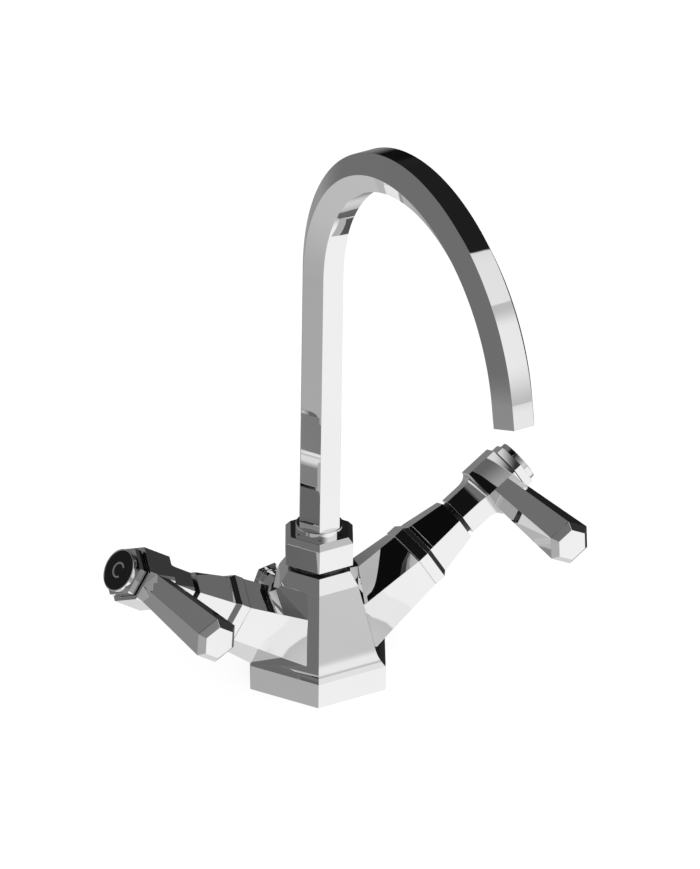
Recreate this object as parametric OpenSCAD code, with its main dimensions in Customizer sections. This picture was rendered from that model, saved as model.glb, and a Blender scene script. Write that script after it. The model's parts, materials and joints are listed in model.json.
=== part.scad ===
// Tall basin mixer: a hexagonal deck-mounted body with two rising valve arms,
// quarter-turn lever handles, a swivelling swan-neck spout and a waste pull knob.
// Millimetres, +Z up. The origin is the centre of the underside of the base.
// The spout reaches towards -Y. The cold arm points to -X and the hot arm to +X.

/* [Body] */
// Width across flats of the base
base_flats = 52; // [48:0.5:56]
// Height of the straight side of the base
base_h = 10.3; // [8:0.1:11]
// Width across flats where the flare meets the main taper
flare_flats = 43.5; // [42:0.5:46]
// Height of the top of the flare
flare_z = 17.4; // [15:0.1:20]
// Width across flats at the shoulder
shoulder_flats = 30.2; // [29:0.1:33]
// Height of the shoulder
shoulder_z = 42.2; // [41:0.1:43.5]
// Width across flats of the top of the body
crown_flats = 23.9; // [23.4:0.1:26]
// Height of the top of the body
crown_z = 47.6; // [46.5:0.1:49]
// Radius of the round neck that the collar sits on
neck_r = 9.9; // [9.6:0.05:10.2]
// Height of the top of the round neck
neck_z = 55.6; // [55:0.1:56.5]
// Radius of the bore for the tail of the spout
tail_bore_r = 6.6; // [6.2:0.05:7]
// Height of the floor of the bore for the tail
tail_bore_z = 31; // [30:0.5:32]
// Height of the two drillings that lead from the valves to that bore
passage_z = 36; // [35:0.1:36.4]
// Radius of those drillings
passage_r = 2.4; // [2:0.1:2.6]

/* [Deck fixings] */
// Distance of each supply hole from the centre
inlet_x = 9.2; // [8.8:0.1:9.8]
// Distance of both supply holes behind the centre
inlet_y = 3; // [2:0.5:4]
// Radius of a supply hole, for the thread of a flexible tail
inlet_r = 4.5; // [4.2:0.05:4.6]
// Depth of a supply hole
inlet_depth = 14; // [12:0.5:16]
// Distance of the fixing hole in front of the centre
stud_y = 10.5; // [10:0.1:12]
// Radius of the hole for the fixing stud
stud_r = 3.4; // [3:0.05:3.6]
// Depth of the hole for the fixing stud
stud_depth = 14; // [10:0.5:16]
// Radius of the centre line of the seal ring in the underside
deck_ring_r = 20; // [19:0.1:21]
// Radius of the cross-section of that seal ring
deck_ring_wire_r = 1.2; // [1:0.05:1.4]

/* [Collar and spout] */
// Height of the underside of the collar
collar_z = 50.5; // [50.2:0.1:51]
// Width across flats of the collar
collar_flats = 25.9; // [25.7:0.1:27]
// Height where the bevel of the collar starts
bevel_z = 60; // [59.5:0.1:60.5]
// Height of the top of the collar
collar_top_z = 62.2; // [61.8:0.1:62.6]
// Width across flats of the top of the collar
collar_top_flats = 22.3; // [22:0.1:23]
// Radius of the round foot of the spout
foot_r = 9.2; // [9.1:0.05:9.4]
// Height of the top of the round foot
foot_top_z = 65.2; // [64.8:0.1:66]
// Width across flats of the spout
spout_flats = 15.4; // [14.8:0.1:15.6]
// Radius of the waterway in the spout
waterway_r = 5.6; // [5:0.1:5.8]
// Height where the bend of the spout starts
bend_z = 174.8; // [150:0.1:200]
// Radius of the rising half of the bend, on its centre line
rise_r = 68.3; // [60:0.1:78]
// Angle that the rising half turns through
rise_angle = 79.7; // [79:0.1:84]
// Radius of the falling half of the bend, on its centre line
fall_r = 71.5; // [62:0.1:80]
// Angle that the falling half turns through
fall_angle = 89.7; // [84:0.1:94]
// Length of the straight end of the spout
end_l = 9.8; // [9.5:0.1:20]

/* [Arms] */
// Angle of each arm above the deck
arm_rise = 32.7; // [31:0.1:35]
// Height where both arm axes cross the middle of the body
arm_z = 11.1; // [10.6:0.1:11.6]
// Distance along the arm of the joint between body and valve shroud
seam_s = 49.5; // [48.5:0.1:51]
// Vertex radius of the arm at that joint
seam_r = 14.1; // [13.9:0.05:14.3]
// Length of the plain band of the shroud
band_l = 4.3; // [4.1:0.1:4.7]
// Vertex radius of the band
band_r = 14.4; // [14.2:0.05:14.7]
// Width of the V-groove after the band
groove_w = 3.5; // [3.2:0.1:3.8]
// Vertex radius at the bottom of that groove
groove_r = 12.75; // [12.6:0.05:13]
// Vertex radius where the long taper of the shroud starts
taper_r = 12.6; // [12.4:0.05:12.8]
// Length of the long taper
taper_l = 14.7; // [14.3:0.1:15.1]
// Vertex radius at the end of the long taper
nose_r = 9.85; // [9.65:0.05:10.1]
// Radius of the bore for the valve
valve_bore_r = 8.3; // [8.1:0.05:8.4]
// Distance along the arm of the floor of that bore
valve_floor_s = 28; // [27.5:0.1:28.5]

/* [Handles] */
// Width of the dark gap between shroud and handle
gap_w = 1.9; // [1.7:0.1:2.1]
// Vertex radius of the neck of the handle
handle_neck_r = 9; // [8.8:0.05:9.2]
// Length of the straight neck
handle_neck_l = 8.1; // [7.8:0.1:8.4]
// Length of the hollow curve between neck and hub
sweep_l = 5.1; // [4.8:0.1:5.4]
// Vertex radius of the hub
hub_r = 12; // [11.8:0.05:12.2]
// Length of the hub
hub_l = 13.3; // [13:0.1:13.8]
// Vertex radius of the lever where it leaves the hub
lever_root_r = 6.9; // [6.6:0.05:7.1]
// Vertex radius of the lever at its thick end
lever_end_r = 9.3; // [9:0.05:9.6]
// Distance from the arm axis to the thick end of the lever
lever_l = 55.4; // [48:0.2:60]
// Length of the bevel at the thick end
lever_bevel_l = 2.3; // [2:0.1:2.8]
// Vertex radius of the flat end of the lever
lever_tip_r = 6.6; // [6.2:0.1:7.2]

/* [Caps] */
// Thickness of the dark ring under the cap
cap_ring_t = 0.5; // [0.4:0.05:0.7]
// How far the corners of the hexagonal cap stand inside those of the hub
cap_inset = 1.8; // [1.6:0.05:2]
// Thickness of the hexagonal cap
cap_t = 3.3; // [3:0.1:3.6]
// Outer radius of the round bezel
bezel_r = 8.4; // [8.2:0.05:8.6]
// Thickness of the round bezel
bezel_t = 2.2; // [2:0.1:2.5]
// Radius of the black index disc
index_r = 7.8; // [7.6:0.05:7.95]
// Height of the letter on the disc
letter_h = 6.4; // [5.6:0.1:7]

/* [Waste pull] */
// Height of the pull rod above the deck
pull_z = 21.9; // [21.4:0.1:22.8]
// Distance of the front of the knob behind the centre
pull_y = 37.4; // [36:0.1:39]
// Width across flats of the knob
pull_flats = 12.6; // [12:0.1:13.2]
// Thickness of the knob
pull_t = 4; // [3.4:0.1:4.6]
// Turn of the knob on its rod, in degrees
pull_twist = -8; // [-15:1:15]
// Radius of the rod
pull_rod_r = 2.5; // [2.3:0.05:2.7]
// Travel of the rod from pushed in to pulled out
pull_travel = 8; // [6:0.5:9]

/* [Hidden] */

$fn = 48;
hex = 6;
cos30 = cos(30);

// Running clearance of a shaft in its bore, and the fit of pieces fixed together
run_gap = 0.05;
fix_gap = 0.02;
// Air between a turning piece and a still one
air_gap = 0.3;
// Overrun of every cut
over = 0.5;

// Steps in a hollow curve
curve_steps = 6;
// Slices along the root of an arm
root_slices = 12;

// Root of the arm inside the body: where it starts and the corners of its section there
root_s = 12;
root_ridge = 17.1;
root_shoulder = [12.2, 14.1];
root_cheek = [-5.2, 18.5];
root_keel = -17;

// Hollow of the flare: heights and widths of its steps as shares of the whole flare
flare_height_shares = [0, 0.14, 0.32, 0.56, 1];
flare_width_shares = [0, 0.25, 0.51, 0.75, 1];

// Tail of the spout
tail_r = tail_bore_r - run_gap;
tail_margin = 1.2;
flange_t = 2;
washer_t = 0.8;
foot_edge = 0.4;
edge_step = 15;
flange_z = neck_z + washer_t;
flange_r = 10.6;
chamber_r = flange_r + air_gap;
lip_z = flange_z + flange_t + air_gap / 2;
tail_bottom_z = passage_z + passage_r + tail_margin;
tail_water_r = 4;
tail_ring_r = 0.9;
tail_groove_w = 2.2;
tail_groove_depth = 1.9;
tail_ring_step = 5;
tail_ring_zs = [neck_z - 2 * tail_ring_step, neck_z - tail_ring_step];
passage_l = 24;
socket_depth = 6;
socket_z = foot_top_z - socket_depth;

// Outlet end of the spout
aerator_l = 7.6;
aerator_washer_t = 1.2;
aerator_wall = 0.9;
aerator_set = 0.6;
aerator_lip_l = 1;
aerator_hole_r = 0.75;
aerator_seat_gap = 1;
aerator_r = waterway_r - fix_gap;
// How much the bend stands back from the straight stretches, and how much its bore narrows
bend_step = 0.02;
bend_narrowing = 0.1;

// Along the arm
band_s = seam_s + band_l;
taper_s = band_s + groove_w;
nose_s = taper_s + taper_l;
grip_s = nose_s + gap_w;
sweep_s = grip_s + handle_neck_l;
hub_s = sweep_s + sweep_l;
hub_top_s = hub_s + hub_l;
cap_s = hub_top_s + cap_ring_t;
bezel_s = cap_s + cap_t;
face_s = bezel_s + bezel_t;
lever_back = 0.3;
lever_s = hub_s + hub_l / 2 - lever_back;

// Valve inside the arm
seal_t = 3;
shroud_space = 1.5;
fixed_disc_t = 2.6;
turning_disc_t = 2.4;
disc_r = 6.2;
disc_port_r = 1.5;
disc_port_x = 4.3;
foot_port_r = 1;
foot_port_x = 5;
disc_gap = 0.02;
valve_cup_r = 6.5;
valve_skirt_r = 7.5;
valve_flange_r = 10.4;
valve_flange_t = 3;
valve_neck_r = 6.3;
spindle_r = 3.8;
spindle_foot_t = 2;
seat_hole_r = 4.2;
inner_seal_r = 3;
spindle_seal_r = 0.8;
spindle_seal_w = 2;
spindle_grip_l = 9;
spindle_top_s = grip_s + spindle_grip_l;
seal_space = 8;
feed_s = 6.5;
seal_s = valve_floor_s;
fixed_s = seal_s + seal_t;
turning_s = fixed_s + fixed_disc_t + disc_gap;
foot_s = turning_s + turning_disc_t;
spindle_seal_s = foot_s + spindle_foot_t + seal_space;
window_r = 2;
window_s = foot_s + spindle_foot_t + window_r;
cup_end_s = window_s + window_r + fix_gap;
shroud_bore_r = valve_flange_r + fix_gap;
shroud_cavity_end = seam_s + valve_flange_t + shroud_space;
shroud_neck_bore_r = valve_neck_r + fix_gap;

// Handle
gap_ring_r = 7.1;
screw_r = 2;
screw_head_r = 3.6;
screw_head_t = 2.4;
screw_l = 7;
web_s = spindle_top_s;
web_t = 2.4;
groove_share = 0.54;
cap_r = hub_r - cap_inset;
cap_spigot_r = 4.6;
cap_spigot_l = 4.2;
index_t = 0.8;
index_depth = 0.1;
bezel_floor_t = bezel_t - index_t - index_depth;
letter_t = 0.25;
letter_stroke = 0.75;
letter_mouth = 84;
letter_width_share = 0.7;
cap_ring_r = 8.2;
lever_pin_r = 2.8;
lever_pin_l = 4.4;

// Waste pull
bush_r = 4.4;
bush_l = 7;
stem_gap = 0.5;
stem_r = bush_r - air_gap;
pull_rim = 0.3;
pull_end_gap = 1;
bush_cut_l = 3;
pull_seal_wire_r = 0.7;
bush_bore_l = bush_l + 2 * pull_seal_wire_r;
pull_rod_l = bush_bore_l + pull_travel;

// Radius of the vertices of a hexagon from its width across flats
function vertex(flats) = flats / 2 / cos30;

// Half width of the body across flats at height z of the main taper
function body_back(z) =
    (flare_flats + (shoulder_flats - flare_flats) * (z - flare_z) / (shoulder_z - flare_z)) / 2;

// Corners of a regular hexagon with vertex radius r at height z, first vertex along +X
function hexagon(r, z) = [for (k = [0:5]) [r * cos(60 * k), r * sin(60 * k), z]];

// Solid through a row of hexagonal sections, each a list of six points
module loft(sections) {
    last = len(sections) - 1;
    sides = [for (i = [0:last - 1]) for (k = [0:5]) let (
        a = hex * i + k, b = hex * i + (k + 1) % hex, c = b + hex, d = a + hex)
        each [[a, d, b], [b, d, c]]];
    polyhedron(points = [for (s = sections) each s],
        faces = concat(sides, [[0, 1, 2, 3, 4, 5]], [[for (k = [5:-1:0]) hex * last + k]]));
}

// Straight hexagonal loft through a list of [distance, vertex radius]
module hex_loft(rings) {
    loft([for (q = rings) hexagon(q[1], q[0])]);
}

// Round ring between two radii
module ring(r_out, r_in, h) {
    difference() {
        cylinder(r = r_out, h = h);
        translate([0, 0, -over]) cylinder(r = r_in, h = h + 2 * over);
    }
}

// Rubber ring of wire radius w round a circle of radius r
module o_ring(r, w) {
    rotate_extrude() translate([r, 0]) circle(r = w, $fn = 24);
}

// Places its children on an arm: +Z runs outwards along the arm, +X up and +Y to the front
module arm_frame() {
    translate([0, 0, arm_z]) rotate([0, 90 - arm_rise, 0]) rotate([0, 0, 180]) children();
}

// The hot arm is the frame above and the cold arm its mirror image
module on_side(cold) {
    if (cold) mirror([1, 0, 0]) arm_frame() children();
    else arm_frame() children();
}

// Section of the arm root at distance s, between the seam and the body
function root_mix(s) = (seam_s - s) / (seam_s - root_s);
function root_section(s) = let (
    m = root_mix(s), h = seam_r / 2, w = seam_r * cos30,
    up = [h + (root_shoulder[0] - h) * m, w + (root_shoulder[1] - w) * m],
    low = [-h + (root_cheek[0] + h) * m, w + (root_cheek[1] - w) * m])
    [[seam_r + (root_ridge - seam_r) * m, 0, s], [up[0], up[1], s], [low[0], low[1], s],
     [-seam_r + (root_keel + seam_r) * m, 0, s], [low[0], -low[1], s], [up[0], -up[1], s]];

module arm_root() {
    loft([for (i = [0:root_slices]) root_section(root_s + (seam_s - root_s) * i / root_slices)]);
}

module arm_bores() {
    translate([0, 0, valve_floor_s]) cylinder(r = valve_bore_r, h = seam_s - valve_floor_s + over);
    translate([0, 0, feed_s]) cylinder(r = seat_hole_r, h = valve_floor_s - feed_s + over);
}

// One casting: base, flare, taper, both arm roots, neck and waterways
module mixer_body() {
    flare = [for (i = [0:len(flare_height_shares) - 1]) [
        base_h + (flare_z - base_h) * flare_height_shares[i],
        vertex(base_flats + (flare_flats - base_flats) * flare_width_shares[i])]];
    color("gainsboro") difference() {
        union() {
            hex_loft(concat([[0, vertex(base_flats)]], flare, [[shoulder_z, vertex(shoulder_flats)],
                [crown_z, vertex(crown_flats)]]));
            translate([0, 0, crown_z - over]) cylinder(r = neck_r, h = neck_z - crown_z + over);
            for (cold = [false, true]) on_side(cold) arm_root();
        }
        translate([0, 0, tail_bore_z]) cylinder(r = tail_bore_r, h = neck_z - tail_bore_z + over);
        for (cold = [false, true]) on_side(cold) arm_bores();
        for (side = [-1, 1]) translate([side * inlet_x, inlet_y, -over])
            cylinder(r = inlet_r, h = inlet_depth + over);
        translate([0, -stud_y, -over]) cylinder(r = stud_r, h = stud_depth + over);
        translate([0, 0, deck_ring_wire_r]) rotate_extrude()
            translate([deck_ring_r - deck_ring_wire_r, -deck_ring_wire_r - over])
            square([2 * deck_ring_wire_r, 2 * deck_ring_wire_r + over]);
        for (side = [-1, 1]) translate([0, 0, passage_z]) rotate([0, side * 90, 0])
            cylinder(r = passage_r, h = passage_l);
        pull_place() translate([0, 0, body_back(pull_z) - bush_bore_l])
            cylinder(r = bush_r + fix_gap, h = bush_bore_l + bush_cut_l);
        pull_place() translate([0, 0, body_back(pull_z) - pull_rod_l - pull_end_gap])
            cylinder(r = pull_rod_r + air_gap, h = pull_rod_l);
    }
}

module deck_seal() {
    color("#222222") translate([0, 0, deck_ring_wire_r])
        o_ring(deck_ring_r, deck_ring_wire_r - fix_gap);
}

// Dark ring in the groove between body and collar
module neck_ring() {
    color("#161616") translate([0, 0, crown_z])
        ring(crown_flats / 2 - air_gap, neck_r + fix_gap, collar_z - crown_z);
}

module collar() {
    color("gainsboro") difference() {
        hex_loft([[collar_z, vertex(collar_flats)], [bevel_z, vertex(collar_flats)],
            [collar_top_z, vertex(collar_top_flats)]]);
        translate([0, 0, collar_z - over]) cylinder(r = neck_r + fix_gap, h = neck_z - collar_z + over);
        translate([0, 0, neck_z]) cylinder(r = chamber_r, h = lip_z - neck_z);
        translate([0, 0, collar_z]) cylinder(r = foot_r + air_gap, h = collar_top_z - collar_z + over);
    }
}

module thrust_washer() {
    color("ivory") translate([0, 0, neck_z]) ring(flange_r, tail_bore_r, washer_t);
}

// Turned tail of the spout, with the round foot that shows above the collar
module spout_tail() {
    color("silver") difference() {
        union() {
            translate([0, 0, tail_bottom_z]) cylinder(r = tail_r, h = flange_z - tail_bottom_z);
            translate([0, 0, flange_z]) cylinder(r = flange_r, h = flange_t);
            translate([0, 0, flange_z]) rotate_extrude($fn = 64) foot_profile();
        }
        translate([0, 0, tail_bottom_z - over])
            cylinder(r = tail_water_r, h = foot_top_z - tail_bottom_z + 2 * over);
        translate([0, 0, socket_z]) cylinder(r = vertex(spout_flats) + fix_gap,
            h = socket_depth + over, $fn = hex);
        for (z = tail_ring_zs) translate([0, 0, z - tail_groove_w / 2])
            ring(tail_r + over, tail_r - tail_groove_depth, tail_groove_w);
    }
}

// Half section of the round foot, with a rounded upper edge
module foot_profile() {
    rise = foot_top_z - flange_z;
    polygon(concat([[0, 0], [foot_r, 0]],
        [for (a = [0:edge_step:90])
            [foot_r - foot_edge * (1 - cos(a)), rise - foot_edge * (1 - sin(a))]],
        [[0, rise]]));
}

module tail_seals() {
    color("#222222") for (z = tail_ring_zs) translate([0, 0, z])
        o_ring(tail_r - tail_ring_r - fix_gap, tail_ring_r - fix_gap);
}

// Carries its children round part of the bend, which starts along +Z and leans towards -Y
module turn(r, angle) {
    translate([0, -r, 0]) rotate([angle, 0, 0]) translate([0, r, 0]) children();
}

// Carries its children to the place where the rising half of the bend meets the falling half
module crest_frame() {
    translate([0, 0, bend_z]) turn(rise_r, rise_angle) children();
}

// Carries its children to the outlet: +Z points out of the spout
module outlet_frame() {
    crest_frame() turn(fall_r, fall_angle) children();
}

// Sweeps a section round part of the bend
module bend(r, angle) {
    translate([0, -r, 0]) rotate([0, 0, 90]) rotate([90, 0, 0])
        rotate_extrude(angle = angle, $fn = 180) translate([r, 0]) rotate(90) children();
}

// Both halves of the bend, one after the other
module bends() {
    translate([0, 0, bend_z]) bend(rise_r, rise_angle) children();
    crest_frame() bend(fall_r, fall_angle) children();
}

// Hexagonal swan neck: straight riser, a bend in two halves and a straight end
module spout_tube() {
    outer_r = vertex(spout_flats);
    color("gainsboro") difference() {
        union() {
            translate([0, 0, socket_z]) cylinder(r = outer_r, h = bend_z - socket_z + over, $fn = hex);
            bends() circle(r = outer_r - bend_step, $fn = hex);
            crest_frame() translate([0, 0, -over]) cylinder(r = outer_r, h = 2 * over, $fn = hex);
            outlet_frame() translate([0, 0, -over]) cylinder(r = outer_r, h = end_l + over, $fn = hex);
        }
        translate([0, 0, socket_z - over]) cylinder(r = waterway_r, h = bend_z - socket_z + 2 * over);
        bends() circle(r = waterway_r - bend_narrowing);
        crest_frame() translate([0, 0, -over]) cylinder(r = waterway_r, h = 2 * over);
        outlet_frame() translate([0, 0, -over]) cylinder(r = waterway_r, h = end_l + 2 * over);
    }
}

module aerator_washer() {
    color("#222222") outlet_frame() translate([0, 0, end_l - aerator_set - aerator_l - aerator_washer_t])
        ring(aerator_r, aerator_r - aerator_wall, aerator_washer_t);
}

// Sleeve that screws into the outlet, with an inner lip that holds the insert
module aerator_housing() {
    color("silver") outlet_frame() translate([0, 0, end_l - aerator_set - aerator_l]) difference() {
        cylinder(r = aerator_r, h = aerator_l);
        translate([0, 0, -over])
            cylinder(r = aerator_r - aerator_wall, h = aerator_l - aerator_lip_l + over);
        translate([0, 0, -over]) cylinder(r = aerator_r - 2 * aerator_wall, h = aerator_l + 2 * over);
    }
}

// Perforated plug that mixes air into the water
module aerator_insert() {
    plug_l = aerator_l - aerator_lip_l - aerator_seat_gap;
    color("whitesmoke") outlet_frame()
        translate([0, 0, end_l - aerator_set - aerator_lip_l - plug_l]) difference() {
            cylinder(r = aerator_r - aerator_wall - fix_gap, h = plug_l);
            translate([0, 0, -over]) cylinder(r = aerator_hole_r, h = plug_l + 2 * over, $fn = 16);
            for (k = [0:5]) rotate(60 * k) translate([aerator_r / 2, 0, -over])
                cylinder(r = aerator_hole_r, h = plug_l + 2 * over, $fn = 16);
        }
}

// Brass body of the ceramic valve: threaded cup, flange and neck
module valve_body(cold) {
    color("goldenrod") on_side(cold) difference() {
        union() {
            translate([0, 0, fixed_s]) cylinder(r = valve_skirt_r, h = seam_s - fixed_s);
            translate([0, 0, cup_end_s]) cylinder(r = valve_bore_r - fix_gap, h = seam_s - cup_end_s);
            translate([0, 0, seam_s]) cylinder(r = valve_flange_r, h = valve_flange_t);
            translate([0, 0, seam_s]) cylinder(r = valve_neck_r, h = nose_s - seam_s);
        }
        translate([0, 0, fixed_s - over]) cylinder(r = valve_cup_r, h = cup_end_s - fixed_s + over);
        for (side = [-1, 1]) translate([0, 0, window_s]) rotate([0, side * 90, 0])
            cylinder(r = window_r, h = valve_bore_r);
        translate([0, 0, fixed_s]) cylinder(r = spindle_r + run_gap, h = nose_s - fixed_s + over);
        translate([0, 0, spindle_seal_s - spindle_seal_w / 2])
            cylinder(r = spindle_r + 2 * (spindle_seal_r + run_gap), h = spindle_seal_w);
    }
}

module seat_seal(cold) {
    color("#222222") on_side(cold) translate([0, 0, seal_s])
        ring(valve_cup_r - fix_gap, inner_seal_r, seal_t);
}

// Ceramic disc with two ports on opposite sides
module port_disc(t) {
    difference() {
        cylinder(r = disc_r, h = t);
        for (side = [-1, 1]) translate([side * disc_port_x, 0, -over])
            cylinder(r = disc_port_r, h = t + 2 * over);
    }
}

module fixed_disc(cold) {
    color("white") on_side(cold) translate([0, 0, fixed_s]) port_disc(fixed_disc_t);
}

module turning_disc(cold) {
    color("lightgray") on_side(cold) translate([0, 0, turning_s]) rotate(90) port_disc(turning_disc_t);
}

module spindle(cold) {
    color("darkkhaki") on_side(cold) difference() {
        union() {
            translate([0, 0, foot_s]) cylinder(r = disc_r, h = spindle_foot_t);
            translate([0, 0, foot_s]) cylinder(r = spindle_r, h = spindle_top_s - foot_s);
        }
        for (side = [-1, 1]) rotate(90) translate([side * foot_port_x, 0, foot_s - over])
            cylinder(r = foot_port_r, h = spindle_foot_t + 2 * over);
        translate([0, 0, web_s + web_t - screw_l - over]) cylinder(r = screw_r + fix_gap, h = screw_l);
    }
}

module spindle_seal(cold) {
    color("#222222") on_side(cold) translate([0, 0, spindle_seal_s])
        o_ring(spindle_r + spindle_seal_r + run_gap, spindle_seal_r - fix_gap);
}

// Chromed hexagonal cover over the valve, with a plain band, a V-groove and a long taper
module shroud(cold) {
    groove_s = band_s + groove_w * groove_share;
    color("gainsboro") on_side(cold) difference() {
        hex_loft([[seam_s, band_r], [band_s, band_r], [groove_s, groove_r], [taper_s, taper_r],
            [nose_s, nose_r]]);
        translate([0, 0, seam_s - over])
            cylinder(r = shroud_bore_r, h = shroud_cavity_end - seam_s + over);
        translate([0, 0, seam_s]) cylinder(r = shroud_neck_bore_r, h = nose_s - seam_s + over);
    }
}

module gap_ring(cold) {
    color("#161616") on_side(cold) translate([0, 0, nose_s])
        ring(gap_ring_r, spindle_r + air_gap, gap_w - 2 * run_gap);
}

// Hub of the handle: hexagonal neck, hollow sweep and hexagonal boss
module hub(cold) {
    color("gainsboro") on_side(cold) difference() {
        hub_solid();
        translate([0, 0, grip_s - over]) cylinder(r = spindle_r + fix_gap, h = web_s - grip_s + over);
        translate([0, 0, web_s - over]) cylinder(r = screw_r + fix_gap, h = web_t + 2 * over);
        translate([0, 0, web_s + web_t])
            cylinder(r = cap_spigot_r + fix_gap, h = hub_top_s - web_s - web_t + over);
        translate([0, hub_r * cos30 + over, lever_s]) rotate([90, 0, 0])
            cylinder(r = lever_pin_r + fix_gap, h = lever_pin_l + over);
    }
}

module hub_solid() {
    sweep = [for (i = [1:curve_steps]) let (a = 90 * i / curve_steps)
        [sweep_s + sweep_l * sin(a), handle_neck_r + (hub_r - handle_neck_r) * (1 - cos(a))]];
    hex_loft(concat([[grip_s, handle_neck_r], [sweep_s, handle_neck_r]], sweep,
        [[hub_top_s, hub_r]]));
}

// Places its children on the lever: +Z runs from the arm axis out to the front
module lever_frame() {
    translate([0, 0, lever_s]) rotate([-90, 0, 0]) rotate(90) children();
}

// Hexagonal lever that thickens towards its bevelled end, with a pin that holds it in the hub
module lever(cold) {
    seat = hub_r * cos30;
    root = seat / 2;
    root_r = lever_root_r - (lever_end_r - lever_root_r) * (seat - root) / (lever_l - seat);
    color("gainsboro") on_side(cold) union() {
        difference() {
            lever_frame() hex_loft([[root, root_r], [lever_l, lever_end_r],
                [lever_l + lever_bevel_l, lever_tip_r]]);
            hex_core();
        }
        lever_frame() translate([0, 0, seat - lever_pin_l])
            cylinder(r = lever_pin_r, h = lever_pin_l + over);
    }
}

// Straight hexagonal prism with the faces of the hub, used to cut the root of the lever
module hex_core() {
    translate([0, 0, hub_s - hub_l]) cylinder(r = hub_r, h = 3 * hub_l, $fn = hex);
}

module handle_screw(cold) {
    color("silver") on_side(cold) union() {
        translate([0, 0, web_s + web_t - screw_l]) cylinder(r = screw_r, h = screw_l + over);
        difference() {
            translate([0, 0, web_s + web_t]) cylinder(r = screw_head_r, h = screw_head_t);
            translate([0, 0, web_s + web_t + screw_head_t / 2])
                cylinder(r = screw_r, h = screw_head_t, $fn = hex);
        }
    }
}

module cap_ring(cold) {
    color("#161616") on_side(cold) translate([0, 0, hub_top_s])
        ring(cap_ring_r, cap_spigot_r + fix_gap, cap_ring_t);
}

// Hexagonal cap with a spigot that pushes into the hub
module cap(cold) {
    color("gainsboro") on_side(cold) union() {
        translate([0, 0, cap_s]) cylinder(r = cap_r, h = cap_t, $fn = hex);
        translate([0, 0, hub_top_s - cap_spigot_l])
            cylinder(r = cap_spigot_r, h = cap_spigot_l + cap_ring_t + over);
    }
}

// Round bezel with a rounded rim round the index disc
module bezel(cold) {
    round_r = (bezel_r - index_r - fix_gap) / 2;
    color("gainsboro") on_side(cold) translate([0, 0, bezel_s]) rotate_extrude($fn = 64)
        polygon(concat([[0, 0], [bezel_r, 0]],
            [for (a = [0:edge_step:180])
                [bezel_r - round_r + round_r * cos(a), bezel_t - round_r + round_r * sin(a)]],
            [[index_r + fix_gap, bezel_floor_t], [0, bezel_floor_t]]));
}

module index(cold) {
    color("#101010") on_side(cold) translate([0, 0, bezel_s + bezel_floor_t])
        cylinder(r = index_r, h = index_t, $fn = 64);
}

// Plain letter of even strokes: C on the cold disc and H on the hot one
module letter(cold) {
    color("lightgray") on_side(cold) translate([0, 0, bezel_s + bezel_floor_t + index_t])
        if (cold) letter_c();
        else letter_h_shape();
}

module letter_c() {
    rotate(90 + letter_mouth / 2) rotate_extrude(angle = 360 - letter_mouth)
        translate([letter_h / 2 - letter_stroke, 0]) square([letter_stroke, letter_t]);
}

module letter_h_shape() {
    w = letter_h * letter_width_share;
    for (side = [-1, 1]) translate([-letter_h / 2, side * (w - letter_stroke) / 2 - letter_stroke / 2, 0])
        cube([letter_h, letter_stroke, letter_t]);
    translate([-letter_stroke / 2, -w / 2, 0]) cube([letter_stroke, w, letter_t]);
}

// Places its children on the pull rod: +Z runs backwards from the middle of the body
module pull_place() {
    translate([0, 0, pull_z]) rotate([-90, 0, 0]) children();
}

module pull_bush() {
    back = body_back(pull_z);
    color("#333333") pull_place() difference() {
        translate([0, 0, back - bush_l]) cylinder(r = bush_r, h = bush_l);
        translate([0, 0, back - bush_l - over]) cylinder(r = pull_rod_r + run_gap, h = bush_l + 2 * over);
    }
}

module pull_seal() {
    color("#222222") pull_place() translate([0, 0, body_back(pull_z) - bush_l - pull_seal_wire_r])
        o_ring(pull_rod_r + pull_seal_wire_r + run_gap, pull_seal_wire_r - fix_gap);
}

module pull_rod() {
    start = body_back(pull_z) - pull_rod_l;
    color("silver") pull_place() translate([0, 0, start]) cylinder(r = pull_rod_r, h = pull_y - start);
}

// Hexagonal knob with a bevelled back, and a round stem that reaches to the bush
module pull_knob() {
    stem_y = body_back(pull_z) + stem_gap;
    stem_l = pull_y - stem_y;
    color("gainsboro") pull_place() difference() {
        union() {
            rotate(pull_twist) hex_loft([[pull_y, vertex(pull_flats)],
                [pull_y + pull_rim, vertex(pull_flats)],
                [pull_y + pull_t, vertex(pull_flats - 2 * (pull_t - pull_rim))]]);
            translate([0, 0, stem_y]) cylinder(r = stem_r, h = stem_l + over);
        }
        translate([0, 0, stem_y - over]) cylinder(r = pull_rod_r + fix_gap, h = stem_l + over);
    }
}

mixer_body();
deck_seal();
neck_ring();
collar();
thrust_washer();
spout_tail();
tail_seals();
spout_tube();
aerator_washer();
aerator_housing();
aerator_insert();
valve_body(true);  // cold_valve_body
valve_body(false);  // hot_valve_body
seat_seal(true);  // cold_seat_seal
seat_seal(false);  // hot_seat_seal
fixed_disc(true);  // cold_fixed_disc
fixed_disc(false);  // hot_fixed_disc
turning_disc(true);  // cold_turning_disc
turning_disc(false);  // hot_turning_disc
spindle(true);  // cold_spindle
spindle(false);  // hot_spindle
spindle_seal(true);  // cold_spindle_seal
spindle_seal(false);  // hot_spindle_seal
shroud(true);  // cold_shroud
shroud(false);  // hot_shroud
gap_ring(true);  // cold_gap_ring
gap_ring(false);  // hot_gap_ring
hub(true);  // cold_hub
hub(false);  // hot_hub
lever(true);  // cold_lever
lever(false);  // hot_lever
handle_screw(true);  // cold_handle_screw
handle_screw(false);  // hot_handle_screw
cap_ring(true);  // cold_cap_ring
cap_ring(false);  // hot_cap_ring
cap(true);  // cold_cap
cap(false);  // hot_cap
bezel(true);  // cold_bezel
bezel(false);  // hot_bezel
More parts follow.
